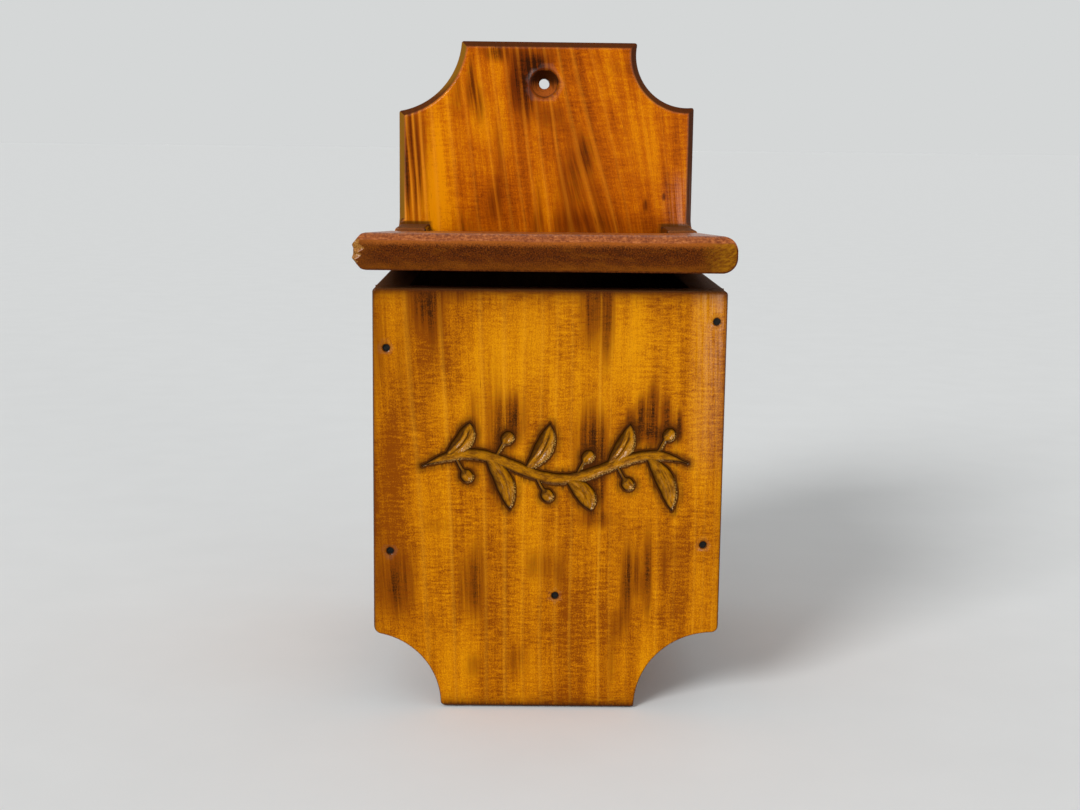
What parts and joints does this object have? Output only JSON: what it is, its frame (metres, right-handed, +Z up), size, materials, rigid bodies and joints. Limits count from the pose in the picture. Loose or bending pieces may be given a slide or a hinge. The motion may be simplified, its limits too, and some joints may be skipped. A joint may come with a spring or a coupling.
{
  "type": "salt box",
  "caption": "Wall-hung wooden salt box with scalloped front and back boards, a countersunk hanging hole and an overhanging lid that turns on nails between two ears.",
  "frame": {"origin": "centre of the hanging hole, in the plane of the back board's rear face, which lies on the wall", "axes": "+Z up, -Y out from the wall towards the box's front, +X to the right as seen from the front"},
  "size_m": [0.1964, 0.2202, 0.361],
  "materials": {
    "back_wood": "orange-brown stained pine with scorched streaks, glossy varnish",
    "side_wood": "honey stained pine, glossy varnish, darker end grain",
    "front_wood": "honey-gold stained pine, scorched and carved, glossy varnish",
    "bottom_wood": "honey stained pine, thin varnish",
    "lid_wood": "dark brown stained wood, glossy varnish",
    "nail_steel": "darkened steel"
  },
  "bodies": {
    "box": {"back_board": "back_wood", "left_side_panel": "side_wood", "right_side_panel": "side_wood", "front_panel": "front_wood", "bottom_board": "bottom_wood", "left_hinge_nail": "nail_steel", "right_hinge_nail": "nail_steel", "front_nails": "nail_steel", "back_nails": "nail_steel", "side_nails": "nail_steel"},
    "lid": {"lid": "lid_wood"}
  },
  "joints": [
    {"name": "lid_hinge", "type": "hinge", "parent": "box", "child": "lid", "pos_m": [0.0017, -0.036, -0.1004], "axis": [-1, 0, 0], "range_deg": [0, 90]}
  ]
}
